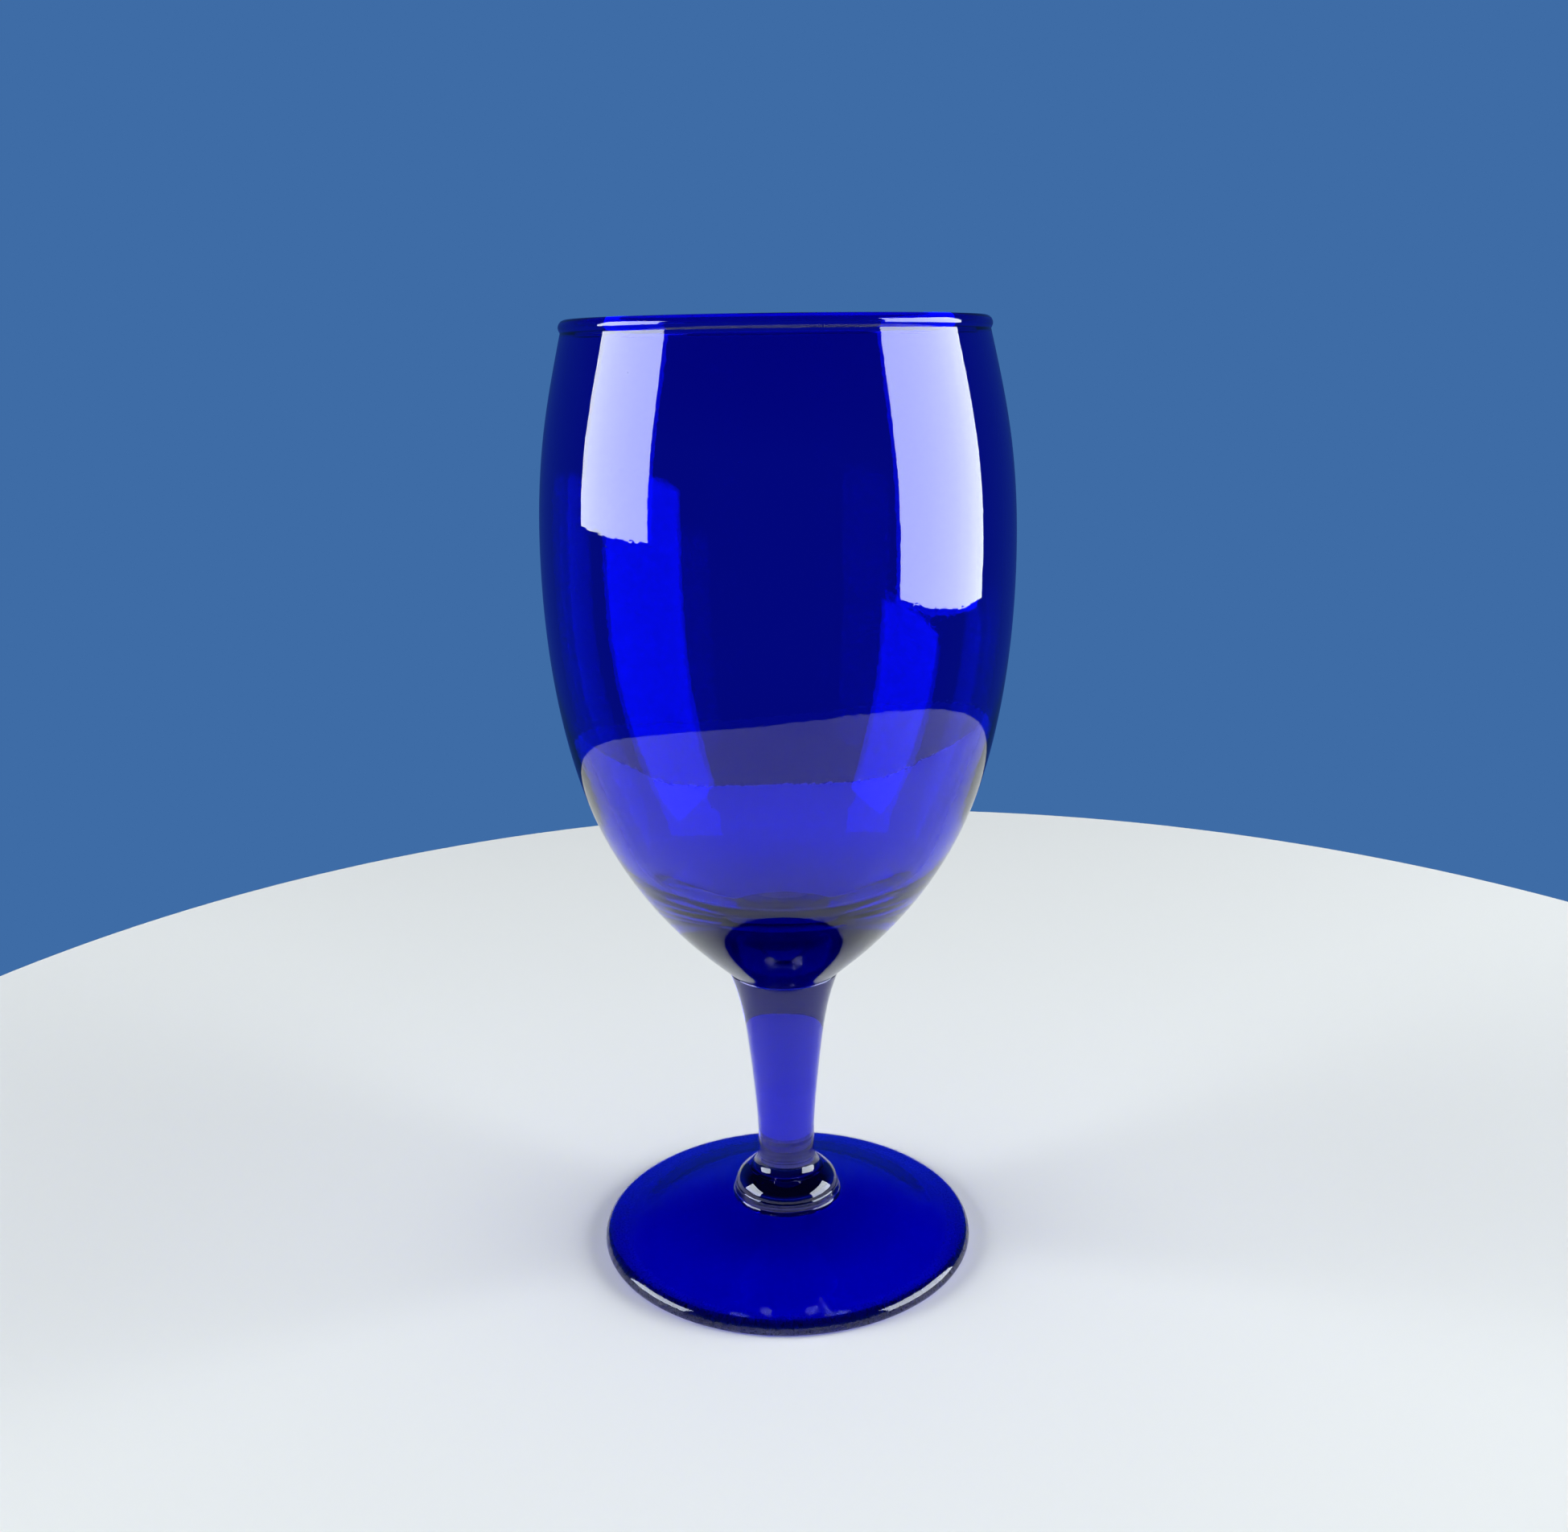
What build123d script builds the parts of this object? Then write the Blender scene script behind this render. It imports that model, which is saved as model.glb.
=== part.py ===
from build123d import *
import os
from math import radians, tan

# A stemmed goblet of solid cobalt blue soda-lime glass, standing upright on its foot.
# Millimetres, +Z up, the origin at the centre of the ring it rests on.

# levels, from the top down
total_height = 175.0
bowl_base_z = 55.8          # where the bowl is fused to the top of the stem
stem_base_z = 14.5          # where the stem grows out of the knop
knop_base_z = 11.2          # widest level of the knop, where it sits on the collar
collar_base_z = 9.6         # where the collar sits on the foot

# bowl
joint_radius = 10.3         # shared by the foot of the bowl and the top of the stem
belly_radius = 41.9
belly_z = 132.5
shoulder_radius = 40.3      # halfway between the belly and the lip
shoulder_z = 156.1
lip_radius = 36.7
lip_height = 2.2            # height of the rounded, fire-polished lip
wall = 2.1
floor_z = 72.1              # lowest point of the inside: the floor is thick

# stem
stem_waist_radius = 5.45
stem_waist_z = 22.0
stem_edge = 0.35            # small rounded edge where the stem meets the bowl

# knop and collar
knop_radius = 9.95
knop_top_radius = 7.3
collar_radius = 10.3
collar_edge = 0.15          # rounding of the collar's lower edge

# foot
foot_radius = 36.0
foot_edge_radius = 34.3     # where the rounded edge runs into the cone
foot_edge_height = 3.15
foot_slope = 14.3           # degrees, the straight rise of the upper surface
cone_head_radius = 11.3     # where the cone curls up to the collar
rest_outer_radius = 35.0    # outer and inner limits of the flat resting ring
rest_inner_radius = 32.0
hollow_height = 5.6         # depth of the hollow under the foot

os.makedirs("parts", exist_ok=True)

# --- bowl: tulip-shaped, thick rounded floor, thin wall, rounded lip ----------------------------
lip_base_z = total_height - lip_height
with BuildPart() as bowl:
    with BuildSketch(Plane.XZ):
        with BuildLine():
            # outside, from the stem up
            Spline(
                (joint_radius, bowl_base_z),
                (16.7, 61.7),
                (26.7, 73.5),
                (33.4, 85.3),
                (38.9, 103.0),
                (belly_radius, belly_z),
                (shoulder_radius, shoulder_z),
                (lip_radius, lip_base_z),
            )
            # lip
            ThreePointArc(
                (lip_radius, lip_base_z),
                (lip_radius - wall / 2, total_height),
                (lip_radius - wall, lip_base_z),
            )
            # inside, from the lip down to the middle of the floor
            Spline(
                (lip_radius - wall, lip_base_z),
                (shoulder_radius - wall, shoulder_z),
                (belly_radius - wall, belly_z),
                (36.7, 103.5),
                (30.8, 86.5),
                (28.0, 80.9),
                (24.6, 76.6),
                (19.5, 74.0),
                (11.0, 72.6),
                (0, floor_z),
            )
            Polyline((0, floor_z), (0, bowl_base_z), (joint_radius, bowl_base_z))
        make_face()
    revolve(axis=Axis.Z, clean=False)
bowl.part.label = "bowl"
export_step(bowl.part, "parts/bowl.step")

# --- stem: solid, drawn thin just above the knop and flaring up into the bowl -------------------
stem_top_radius = joint_radius - 0.1
neck_base_radius = stem_waist_radius + 0.05
neck_base_z = 18.1
with BuildPart() as stem:
    with BuildSketch(Plane.XZ):
        with BuildLine():
            # hollow curve out of the knop
            Spline(
                (knop_top_radius, stem_base_z),
                (6.6, 14.85),
                (6.05, 15.5),
                (5.7, 16.5),
                (neck_base_radius, neck_base_z),
            )
            # waist and flare
            Spline(
                (neck_base_radius, neck_base_z),
                (stem_waist_radius, stem_waist_z),
                (5.8, 28.4),
                (6.55, 36.3),
                (7.5, 44.1),
                (9.15, 52.0),
                (joint_radius, bowl_base_z - stem_edge),
            )
            ThreePointArc(
                (joint_radius, bowl_base_z - stem_edge),
                (joint_radius + 0.05, bowl_base_z - 0.4 * stem_edge),
                (stem_top_radius, bowl_base_z),
            )
            Polyline(
                (stem_top_radius, bowl_base_z),
                (0, bowl_base_z),
                (0, stem_base_z),
                (knop_top_radius, stem_base_z),
            )
        make_face()
    revolve(axis=Axis.Z, clean=False)
stem.part.label = "stem"
export_step(stem.part, "parts/stem.step")

# --- knop: a low solid dome under the stem ------------------------------------------------------
with BuildPart() as knop:
    with BuildSketch(Plane.XZ):
        with BuildLine():
            Spline(
                (knop_radius, knop_base_z),
                (9.75, 12.0),
                (9.2, 12.9),
                (8.4, 13.7),
                (7.75, 14.2),
                (knop_top_radius, stem_base_z),
            )
            Polyline(
                (knop_top_radius, stem_base_z),
                (0, stem_base_z),
                (0, knop_base_z),
                (knop_radius, knop_base_z),
            )
        make_face()
    revolve(axis=Axis.Z, clean=False)
knop.part.label = "knop"
export_step(knop.part, "parts/knop.step")

# --- collar: a thin ring of glass between knop and foot, its side leaning in a little ------------
with BuildPart() as collar:
    with BuildSketch(Plane.XZ):
        with BuildLine():
            Polyline(
                (knop_radius, knop_base_z),
                (0, knop_base_z),
                (0, collar_base_z),
                (collar_radius - collar_edge, collar_base_z),
            )
            RadiusArc(
                (collar_radius - collar_edge, collar_base_z),
                (collar_radius, collar_base_z + collar_edge),
                -collar_edge,
            )
            Spline(
                (collar_radius, collar_base_z + collar_edge),
                (10.17, 10.55),
                (knop_radius, knop_base_z),
            )
        make_face()
    revolve(axis=Axis.Z, clean=False)
collar.part.label = "collar"
export_step(collar.part, "parts/collar.step")

# --- foot: a round plate rising as a straight cone, with a hollow underneath ----------------------
rise = tan(radians(foot_slope))
cone_head_z = foot_edge_height + (foot_edge_radius - cone_head_radius) * rise
with BuildPart() as foot:
    with BuildSketch(Plane.XZ):
        with BuildLine():
            Line((rest_inner_radius, 0), (rest_outer_radius, 0))
            ThreePointArc((rest_outer_radius, 0), (35.75, 0.35), (foot_radius, 1.0))
            # rounded edge
            Spline(
                (foot_radius, 1.0),
                (35.88, 1.75),
                (35.3, 2.65),
                (foot_edge_radius, foot_edge_height),
            )
            Line((foot_edge_radius, foot_edge_height), (cone_head_radius, cone_head_z))
            # small curl up to the collar
            Spline(
                (cone_head_radius, cone_head_z),
                (10.85, cone_head_z + 0.14),
                (10.45, collar_base_z - 0.2),
                (collar_radius, collar_base_z),
            )
            Polyline((collar_radius, collar_base_z), (0, collar_base_z), (0, hollow_height))
            # hollow underneath
            Spline(
                (0, hollow_height),
                (9.0, 5.2),
                (17.0, 4.1),
                (23.5, 2.55),
                (28.0, 1.0),
                (30.3, 0.25),
                (rest_inner_radius, 0),
            )
        make_face()
    revolve(axis=Axis.Z, clean=False)
foot.part.label = "foot"
export_step(foot.part, "parts/foot.step")
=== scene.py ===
"""A footed goblet of cobalt blue glass, dressed over its CAD frame."""

from math import cos, pi, radians, sin

import bpy
import numpy as np
from mathutils import Matrix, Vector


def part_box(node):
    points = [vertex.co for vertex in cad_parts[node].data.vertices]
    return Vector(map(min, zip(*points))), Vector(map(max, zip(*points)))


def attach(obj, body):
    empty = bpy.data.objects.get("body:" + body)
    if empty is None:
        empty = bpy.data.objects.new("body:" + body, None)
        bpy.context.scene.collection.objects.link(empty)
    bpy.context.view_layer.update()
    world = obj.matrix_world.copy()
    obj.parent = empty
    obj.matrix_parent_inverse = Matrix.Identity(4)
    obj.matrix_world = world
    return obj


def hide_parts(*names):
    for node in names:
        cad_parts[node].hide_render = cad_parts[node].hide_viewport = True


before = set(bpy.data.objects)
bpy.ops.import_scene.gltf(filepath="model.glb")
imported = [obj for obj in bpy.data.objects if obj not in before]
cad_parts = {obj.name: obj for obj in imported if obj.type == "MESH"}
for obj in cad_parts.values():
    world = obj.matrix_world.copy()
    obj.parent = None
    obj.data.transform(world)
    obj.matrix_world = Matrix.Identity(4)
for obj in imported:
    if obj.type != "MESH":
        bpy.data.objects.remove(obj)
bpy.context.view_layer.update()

# Bowl. A tulip of clear cobalt glass with a thick rounded floor and a wall of about two millimetres.
# It is blown in a mould, cut from its cap of waste glass and fire-polished, which leaves a rounded
# lip that stands a hair proud of the wall.
MM = 0.001
bowl_low, bowl_high = (np.array(corner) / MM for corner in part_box("bowl"))
bowl_base = bowl_low[2]
bowl_height = bowl_high[2] - bowl_base
belly_radius = bowl_high[0]
mouth_radius = 36.7
lip_height = 2.2
wall = 2.1
bowl_swell = 0.03           # slow unevenness of the hand-finished wall
sides = 288                 # flat steps round each piece


def smooth_curve(points, count, base=0.0):
    """Points along a natural cubic spline through (radius, height above base), evenly spaced by chord.

    Each span is a(1-t) + bt plus the cubic terms that keep slope and bend continuous, with no bend
    at the two ends."""
    points = np.array(points, float) + (0.0, base)
    length = np.r_[0, np.cumsum(np.linalg.norm(np.diff(points, axis=0), axis=1))]
    span = np.diff(length)
    slope = np.diff(points, axis=0) / span[:, None]
    size = len(points)
    matrix = np.eye(size)
    right = np.zeros((size, 2))
    inner = np.arange(1, size - 1)
    matrix[inner, inner - 1] = span[:-1]
    matrix[inner, inner] = 2 * (span[:-1] + span[1:])
    matrix[inner, inner + 1] = span[1:]
    right[1:-1] = 6 * np.diff(slope, axis=0)
    bend = np.linalg.solve(matrix, right)
    at = np.linspace(0, length[-1], count)
    k = np.clip(np.searchsorted(length, at, side="right") - 1, 0, size - 2)
    h = span[k][:, None]
    b = ((at - length[k]) / span[k])[:, None]
    a = 1 - b
    return a * points[k] + b * points[k + 1] + ((a**3 - a) * bend[k] + (b**3 - b) * bend[k + 1]) * h**2 / 6


def turned(name, outline, fused, swell=0.0):
    """A closed solid turned about the upright axis from an outline of (radius, height) in millimetres.

    Point (i, j) lies at angle t = 2 pi j / sides and radius r(i) + swell (sin(2t + 0.05h) +
    0.5 sin(5t + 0.09h + 1)). The outline starts and ends on the axis, where the ring shrinks to one
    pole. Faces in the fused stretches, which are pairs of outline indices, carry 1 in "fused"."""
    outline = np.array(outline, float)
    ring = outline[1:-1]
    rows = len(ring)
    turn = np.arange(sides) * 2 * pi / sides
    height = np.broadcast_to(ring[:, 1:], (rows, sides))
    ripple = np.sin(2 * turn + 0.05 * height) + 0.5 * np.sin(5 * turn + 0.09 * height + 1)
    radius = ring[:, :1] + swell * ripple * np.minimum(ring[:, :1] / 10, 1)
    grid = np.stack([radius * np.cos(turn), radius * np.sin(turn), height], axis=-1)
    poles = [(0, 0, outline[0, 1]), (0, 0, outline[-1, 1])]
    points = np.concatenate([grid.reshape(-1, 3), poles]) * MM
    here = np.arange(sides)
    after = (here + 1) % sides
    row = np.arange(rows - 1)[:, None] * sides
    quads = np.stack([row + here, row + after, row + sides + after, row + sides + here], -1).reshape(-1, 4)
    top = (rows - 1) * sides
    first_fan = np.stack([np.full(sides, rows * sides), after, here], -1)
    last_fan = np.stack([top + here, top + after, np.full(sides, rows * sides + 1)], -1)
    mesh = bpy.data.meshes.new(name)
    mesh.from_pydata(points.tolist(), [], first_fan.tolist() + quads.tolist() + last_fan.tolist())
    band = np.repeat(np.arange(rows + 1), sides)
    mark = np.any([(band >= first) & (band < last) for first, last in fused], axis=0)
    mesh.attributes.new("fused", "FLOAT", "FACE").data.foreach_set("value", mark.astype(np.float32))
    mesh.shade_smooth()
    mesh.set_sharp_from_angle(angle=radians(38))
    piece = bpy.data.objects.new(name, mesh)
    bpy.context.collection.objects.link(piece)
    return piece


def colour(code):
    """An sRGB hex code as linear red, green, blue and full opacity."""
    value = np.array([int(code[k : k + 2], 16) for k in (1, 3, 5)]) / 255
    linear = np.where(value <= 0.04045, value / 12.92, ((value + 0.055) / 1.055) ** 2.4)
    return (*linear, 1.0)


def add(tree, kind, links=(), **settings):
    """A new node with its settings and its sockets, each given a value or another node's output."""
    node = tree.nodes.new(kind)
    for key, value in settings.items():
        setattr(node, key, value)
    for socket, source in links:
        if hasattr(source, "is_output"):
            tree.links.new(source, node.inputs[socket])
        else:
            node.inputs[socket].default_value = source
    return node


def cobalt_glass():
    """Soda-lime glass coloured with cobalt oxide, mould-blown and fire-polished.

    Clear and glossy; the colour lies in its depth, so that a thin wall is royal blue and a thick floor
    nearly black. Its skin has a faint orange-peel ripple from the mould and a few pin-prick specks, and
    the ring it rests on is scuffed matt by use."""
    material = bpy.data.materials.new("cobalt_soda_lime_glass")
    material.use_nodes = True
    tree = material.node_tree
    tree.nodes.clear()
    place = add(tree, "ShaderNodeTexCoord").outputs["Object"]

    # inside a fused joint the glass goes on, so nothing is bent or mirrored there
    joint = add(tree, "ShaderNodeAttribute", attribute_name="fused")
    index = add(
        tree, "ShaderNodeMapRange",
        [("Value", joint.outputs["Fac"]), ("To Min", 1.52), ("To Max", 1.0)],
    )

    # mould ripple, about 1.4 mm across and 5 thousandths high
    peel = add(
        tree, "ShaderNodeTexNoise",
        [("Vector", place), ("Scale", 1 / (1.4 * MM)), ("Detail", 2.0), ("Roughness", 0.5)],
    )
    skin = add(tree, "ShaderNodeBump", [("Height", peel.outputs["Fac"]), ("Distance", 0.005 * MM)])

    # specks: one point in each 7 mm cell, a third of them kept, 0.15 mm in radius
    cell = 7 * MM
    seed = add(tree, "ShaderNodeTexVoronoi", [("Vector", place), ("Scale", 1 / cell)])
    near = add(
        tree, "ShaderNodeMapRange",
        [("Value", seed.outputs["Distance"]), ("From Min", 0.15 * MM / cell), ("From Max", 0.04 * MM / cell)],
    )
    kept = add(
        tree, "ShaderNodeMath", [(0, seed.outputs["Color"]), (1, 0.66)], operation="GREATER_THAN"
    )
    speck = add(
        tree, "ShaderNodeMath",
        [(0, near.outputs["Result"]), (1, kept.outputs["Value"])], operation="MULTIPLY",
    )
    surface = add(
        tree, "ShaderNodeBump",
        [("Height", speck.outputs["Value"]), ("Distance", 0.05 * MM), ("Normal", skin.outputs["Normal"])],
    )

    # scuffs: patches half a millimetre across, only on the lowest half millimetre
    height = add(tree, "ShaderNodeSeparateXYZ", [("Vector", place)])
    resting = add(
        tree, "ShaderNodeMapRange",
        [("Value", height.outputs["Z"]), ("From Min", 0.45 * MM), ("From Max", 0.05 * MM)],
    )
    rub = add(
        tree, "ShaderNodeTexNoise",
        [("Vector", place), ("Scale", 1 / (0.5 * MM)), ("Detail", 3.0), ("Roughness", 0.7)],
    )
    worn = add(
        tree, "ShaderNodeMath",
        [(0, rub.outputs["Fac"]), (1, resting.outputs["Result"])], operation="MULTIPLY",
    )
    matt = add(tree, "ShaderNodeMath", [(0, worn.outputs["Value"]), (1, 0.6)], operation="MULTIPLY")
    rough = add(
        tree, "ShaderNodeMath",
        [(0, matt.outputs["Value"]), (1, speck.outputs["Value"])], operation="MAXIMUM",
    )

    glass = add(
        tree, "ShaderNodeBsdfPrincipled",
        [
            ("Base Color", colour("#FFFFFF")),
            ("Roughness", rough.outputs["Value"]),
            ("IOR", index.outputs["Result"]),
            ("Transmission Weight", 1.0),
            ("Normal", surface.outputs["Normal"]),
        ],
    )
    # light lost per metre is density times (1 - colour): 1500 in red and green, 40 in blue
    tint = add(
        tree, "ShaderNodeVolumeAbsorption", [("Color", (0.0, 0.0, 0.973, 1.0)), ("Density", 1500.0)]
    )
    add(
        tree, "ShaderNodeOutputMaterial",
        [("Surface", glass.outputs["BSDF"]), ("Volume", tint.outputs["Volume"])],
    )
    return material


glass = cobalt_glass()
joint_radius = 10.3         # shared by the foot of the bowl and the top of the stem
belly_height = 76.7         # heights in the outlines are above the lowest point of their own piece
shoulder_radius = 40.3
shoulder_height = 100.3
outside = smooth_curve(
    [
        (joint_radius, 0),
        (16.7, 5.9),
        (26.7, 17.7),
        (33.4, 29.5),
        (38.9, 47.2),
        (belly_radius, belly_height),
        (shoulder_radius, shoulder_height),
        (mouth_radius, bowl_height - lip_height),
    ],
    150,
    bowl_base,
)
lip_middle = mouth_radius - wall / 2
lip_half = 1.35             # half the width of the rounded lip, a little more than half the wall
lip = smooth_curve(
    [
        (mouth_radius, -lip_height),
        (lip_middle + lip_half, -1.4),
        (lip_middle + 0.95, -0.4),
        (lip_middle, 0),
        (lip_middle - 0.95, -0.4),
        (lip_middle - lip_half, -1.4),
        (mouth_radius - wall, -lip_height),
    ],
    22,
    bowl_base + bowl_height,
)
inside = smooth_curve(
    [
        (mouth_radius - wall, bowl_height - lip_height),
        (shoulder_radius - wall, shoulder_height),
        (belly_radius - wall, belly_height),
        (36.7, 47.7),
        (30.8, 30.7),
        (28.0, 25.1),
        (24.6, 20.8),
        (19.5, 18.2),
        (11.0, 16.8),
        (5.0, 16.4),
        (0.0, 16.3),
    ],
    110,
    bowl_base,
)
bowl = turned(
    "glass_bowl", np.concatenate([[(0, bowl_base)], outside, lip[1:], inside[1:]]), [(0, 1)], bowl_swell
)
bowl.data.materials.append(glass)
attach(bowl, "root")
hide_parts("bowl")

# Stem. A short solid stem drawn from the same glass, thinnest just above the knop and flaring up to
# the bowl. Its top edge stays a tiny round step where the two gathers were joined.
stem_low, stem_high = (np.array(corner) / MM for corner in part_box("stem"))
stem_base = stem_low[2]
stem_top = stem_high[2]
stem_edge = 0.35
waist_radius = 5.45
lap = 0.02                  # neighbours overlap this much inside a fused joint, so no air is left there
root = smooth_curve([(7.3, -lap), (6.6, 0.35), (6.05, 1.0), (5.7, 2.0), (5.5, 3.6)], 28, stem_base)
neck = smooth_curve(
    [
        (5.5, 3.6),
        (waist_radius, 7.5),
        (5.8, 13.9),
        (6.55, 21.8),
        (7.5, 29.6),
        (9.15, 37.5),
        (joint_radius, stem_top - stem_base - stem_edge),
    ],
    90,
    stem_base,
)
edge = smooth_curve([(joint_radius, -stem_edge), (10.36, -0.15), (10.28, lap)], 8, stem_top)
outline = np.concatenate([[(0, stem_base - lap)], root, neck[1:], edge[1:], [(0, stem_top + lap)]])
last = len(outline) - 2
stem = turned("glass_stem", outline, [(0, 1), (last, last + 1)])
stem.data.materials.append(glass)
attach(stem, "root")
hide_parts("stem")

# Knop. A low solid dome of the same glass, pressed down under the stem while hot.
knop_low, knop_high = (np.array(corner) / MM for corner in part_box("knop"))
knop_base = knop_low[2]
knop_top = knop_high[2]
knop_radius = knop_high[0]
dome = smooth_curve(
    [
        (knop_radius, 0),
        (9.75, 0.8),
        (9.2, 1.7),
        (8.4, 2.5),
        (7.75, 3.0),
        (7.3, knop_top - knop_base),
    ],
    48,
    knop_base,
)
outline = np.concatenate([[(0, knop_base)], dome, [(0, knop_top)]])
last = len(outline) - 2
knop = turned("glass_knop", outline, [(0, 1), (last, last + 1)])
knop.data.materials.append(glass)
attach(knop, "root")
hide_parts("knop")

# Collar. A thin ring of glass with a rounded lower edge that seals the knop to the foot. Its side
# leans in a little towards the knop.
collar_low, collar_high = (np.array(corner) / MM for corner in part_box("collar"))
collar_base = collar_low[2]
collar_top = collar_high[2]
collar_radius = collar_high[0]
bead = smooth_curve([(10.2, 0), (10.28, 0.05), (collar_radius, 0.15)], 6, collar_base)
lean = smooth_curve([(collar_radius, -1.45), (10.17, -0.65), (10.05, -0.1), (9.97, lap)], 16, collar_top)
under_side = [(0, collar_base), (9.9, collar_base)]
outline = np.concatenate([under_side, bead, lean[1:], [(0, collar_top + lap)]])
last = len(outline) - 2
collar = turned("glass_collar", outline, [(0, 1), (last, last + 1)])
collar.data.materials.append(glass)
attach(collar, "root")
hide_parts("collar")

# Foot. A round plate of glass whose upper side rises as a straight cone; underneath it is hollow, so
# that it stands on a narrow ring near its edge. The edge is rounded by fire-polishing.
foot_low, foot_high = (np.array(corner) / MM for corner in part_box("foot"))
foot_base = foot_low[2]
foot_top = foot_high[2]
foot_radius = 36.0
hollow_height = 5.6
rim_end = np.array((34.3, 3.15))        # where the rounded edge runs into the cone
cone_head = np.array((11.3, 9.01))      # where the cone curls up to the collar
hollow = smooth_curve(
    [
        (0, hollow_height),
        (9.0, 5.2),
        (17.0, 4.1),
        (23.5, 2.55),
        (28.0, 1.0),
        (30.3, 0.25),
        (32.0, 0.0),
    ],
    60,
    foot_base,
)
sole = smooth_curve([(35.0, 0.0), (35.75, 0.35), (foot_radius, 1.0)], 10, foot_base)
rim = smooth_curve([(foot_radius, 1.0), (35.88, 1.75), (35.3, 2.65), rim_end], 20, foot_base)
slope = np.linspace(rim_end + (0, foot_base), cone_head + (0, foot_base), 60)
curl = smooth_curve(
    [cone_head, (10.85, 9.15), (10.45, 9.4), (joint_radius, foot_top - foot_base + lap)], 16, foot_base
)
outline = np.concatenate([hollow, sole, rim[1:], slope[1:], curl[1:], [(0, foot_top + lap)]])
last = len(outline) - 2
foot = turned("glass_foot", outline, [(last, last + 1)])
foot.data.materials.append(glass)
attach(foot, "root")
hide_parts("foot")

# Stage. A round pale table top, a plain wall colour all round, and soft lights: a tall window on
# either side and a wide soft one overhead.
table_radius = 275.0
table_thickness = 18.0
table_gap = 0.05            # keeps the foot's resting ring clear of the table's face
table_place = np.array((24.0, 20.0, -table_gap - table_thickness / 2))
bpy.ops.mesh.primitive_cylinder_add(
    vertices=256, radius=table_radius * MM, depth=table_thickness * MM, location=table_place * MM
)
table = bpy.context.object
table.name = "table_top"
paint = bpy.data.materials.new("pale_paint")
paint.use_nodes = True
coat = paint.node_tree.nodes["Principled BSDF"]
coat.inputs["Base Color"].default_value = colour("#EDEAE5")
coat.inputs["Roughness"].default_value = 0.7
table.data.materials.append(paint)

world = bpy.data.worlds.new("wall_colour")
bpy.context.scene.world = world
world.use_nodes = True
tree = world.node_tree
tree.nodes.clear()
seen = add(tree, "ShaderNodeBackground", [("Color", colour("#3E6CA6"))])
direction = add(tree, "ShaderNodeTexCoord")
way = add(tree, "ShaderNodeSeparateXYZ", [("Vector", direction.outputs["Generated"])])
# the wall fades into an unlit ceiling between 12 and 35 degrees above the horizon
fade = add(
    tree, "ShaderNodeMapRange",
    [("Value", way.outputs["Z"]), ("From Min", sin(radians(12))), ("From Max", sin(radians(35)))],
)
wall_light = (0.015, 0.05, 0.24, 1.0)
ceiling_light = (0.008, 0.01, 0.016, 1.0)
room = add(
    tree, "ShaderNodeMixRGB",
    [("Fac", fade.outputs["Result"]), ("Color1", wall_light), ("Color2", ceiling_light)],
)
unseen = add(tree, "ShaderNodeBackground", [("Color", room.outputs["Color"])])
ray = add(tree, "ShaderNodeLightPath")
both = add(
    tree, "ShaderNodeMixShader",
    [(0, ray.outputs["Is Camera Ray"]), (1, unseen.outputs[0]), (2, seen.outputs[0])],
)
add(tree, "ShaderNodeOutputWorld", [("Surface", both.outputs["Shader"])])


daylight = (0.90, 0.97, 1.0)


def softbox(name, azimuth, distance, width, bottom, top, radiance):
    """A tall soft light facing the goblet, azimuth in degrees from the camera's side, sizes in metres."""
    data = bpy.data.lights.new(name, "AREA")
    data.shape = "RECTANGLE"
    data.size = width
    data.size_y = top - bottom
    data.energy = radiance * pi * width * (top - bottom)
    data.color = daylight
    lamp = bpy.data.objects.new(name, data)
    turn = radians(azimuth)
    lamp.matrix_world = (
        Matrix.Translation((distance * sin(turn), -distance * cos(turn), (top + bottom) / 2))
        @ Matrix.Rotation(turn, 4, "Z")
        @ Matrix.Rotation(radians(90), 4, "X")
    )
    bpy.context.collection.objects.link(lamp)
    lamp.visible_camera = False


def overhead_light(name, radiance, only_through_glass):
    """A square soft light above the goblet that doesn't show in its gloss."""
    side = 0.6
    data = bpy.data.lights.new(name, "AREA")
    data.size = side
    data.color = daylight
    data.energy = radiance * pi * side**2
    lamp = bpy.data.objects.new(name, data)
    lamp.location = (0, 0, 0.95)
    lamp.visible_camera = lamp.visible_glossy = False
    lamp.visible_diffuse = not only_through_glass
    bpy.context.collection.objects.link(lamp)


overhead_light("overhead", 1.1, False)
overhead_light("overhead_through", 20.0, True)      # lights the table under the foot
for side, azimuth, width, bottom in (("left", -82, 0.92, 0.09), ("right", 83.5, 1.2, -0.10)):
    softbox(side + "_window", azimuth, 1.2, width, bottom, 0.9, 10.1)

camera_data = bpy.data.cameras.new("camera")
camera = bpy.data.objects.new("camera", camera_data)
bpy.context.collection.objects.link(camera)
camera_data.sensor_width = 36.0
camera_data.lens = 35.88
camera_data.clip_start = 0.01
camera.matrix_world = (
    Matrix.Translation((0, -278.4 * MM, 169.1 * MM))
    @ Matrix.Rotation(radians(-0.10), 4, "Z")
    @ Matrix.Rotation(radians(90 - 14.79), 4, "X")
    @ Matrix.Rotation(radians(-0.75), 4, "Z")
)
bpy.context.scene.camera = camera
bpy.context.scene.view_settings.view_transform = "Standard"
bpy.context.scene.cycles.max_bounces = 24
bpy.context.scene.cycles.transmission_bounces = 24
bpy.context.scene.cycles.glossy_bounces = 12
